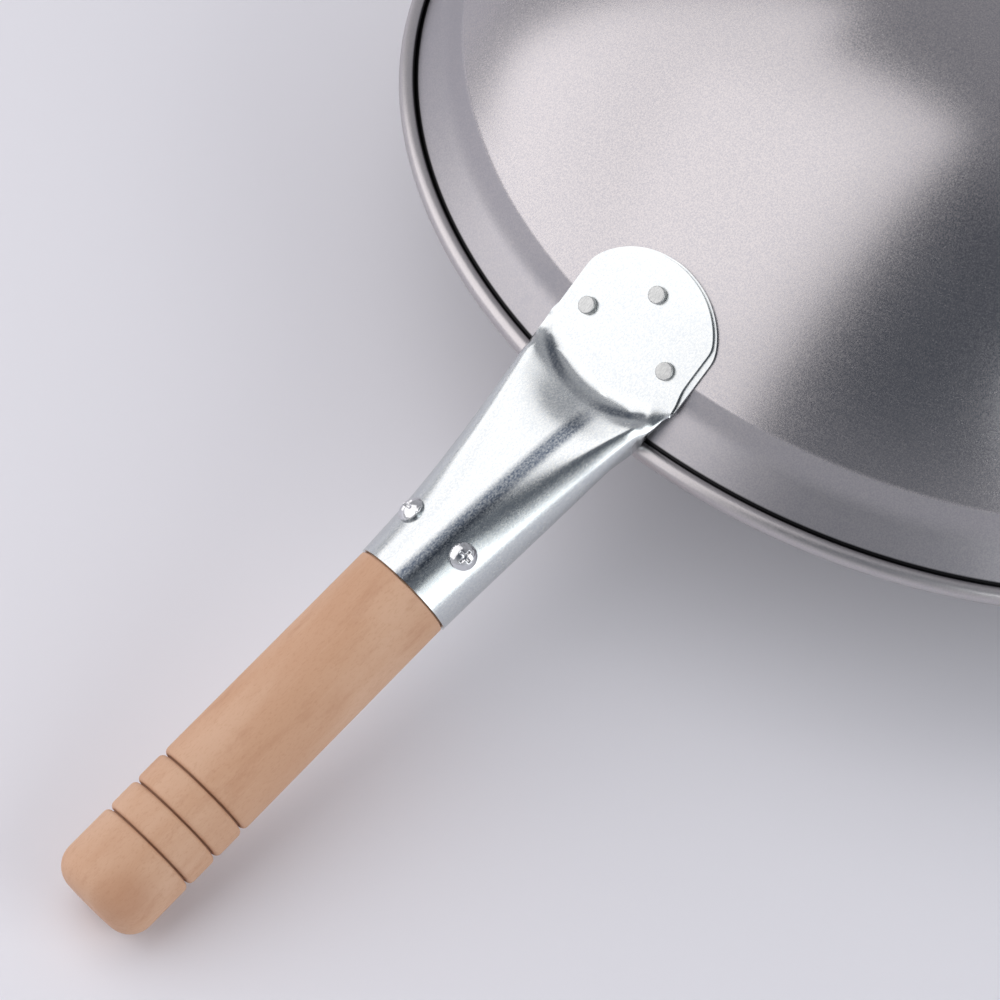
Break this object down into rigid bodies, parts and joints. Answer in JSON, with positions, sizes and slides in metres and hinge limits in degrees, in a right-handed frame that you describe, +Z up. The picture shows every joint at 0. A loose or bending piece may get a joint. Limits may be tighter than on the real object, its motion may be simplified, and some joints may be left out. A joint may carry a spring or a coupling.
{
  "type": "wok",
  "caption": "Carbon steel wok with a riveted, flattened tube socket and a turned wooden grip, lying upside down on its rim and grip.",
  "frame": {"origin": "middle of the object's bounding box at the level of the table; the wok lies upside down with Z = 0 under the far side of the rim and under the butt of the grip", "axes": "+X runs along the handle from the bowl to the butt of the grip, +Z is up from the table on the outside of the dome, and the wok is symmetric about the XZ plane"},
  "size_m": [0.5398, 0.356, 0.1502],
  "materials": {
    "carbon_steel": "satin cold rolled carbon steel with a fine spun grain",
    "zinc": "bright zinc plating, slightly grainy on the folds",
    "rivet_steel": "dull steel, scuffed on the heads",
    "wood": "smooth turned hardwood, matt, with fine mottled grain",
    "screw_steel": "bright plated steel"
  },
  "bodies": {
    "root": {"bowl": "carbon_steel", "socket": "zinc", "rivet_left": "rivet_steel", "rivet_right": "rivet_steel", "rivet_top": "rivet_steel", "grip": "wood", "screw_left": "screw_steel", "screw_right": "screw_steel"}
  },
  "joints": []
}
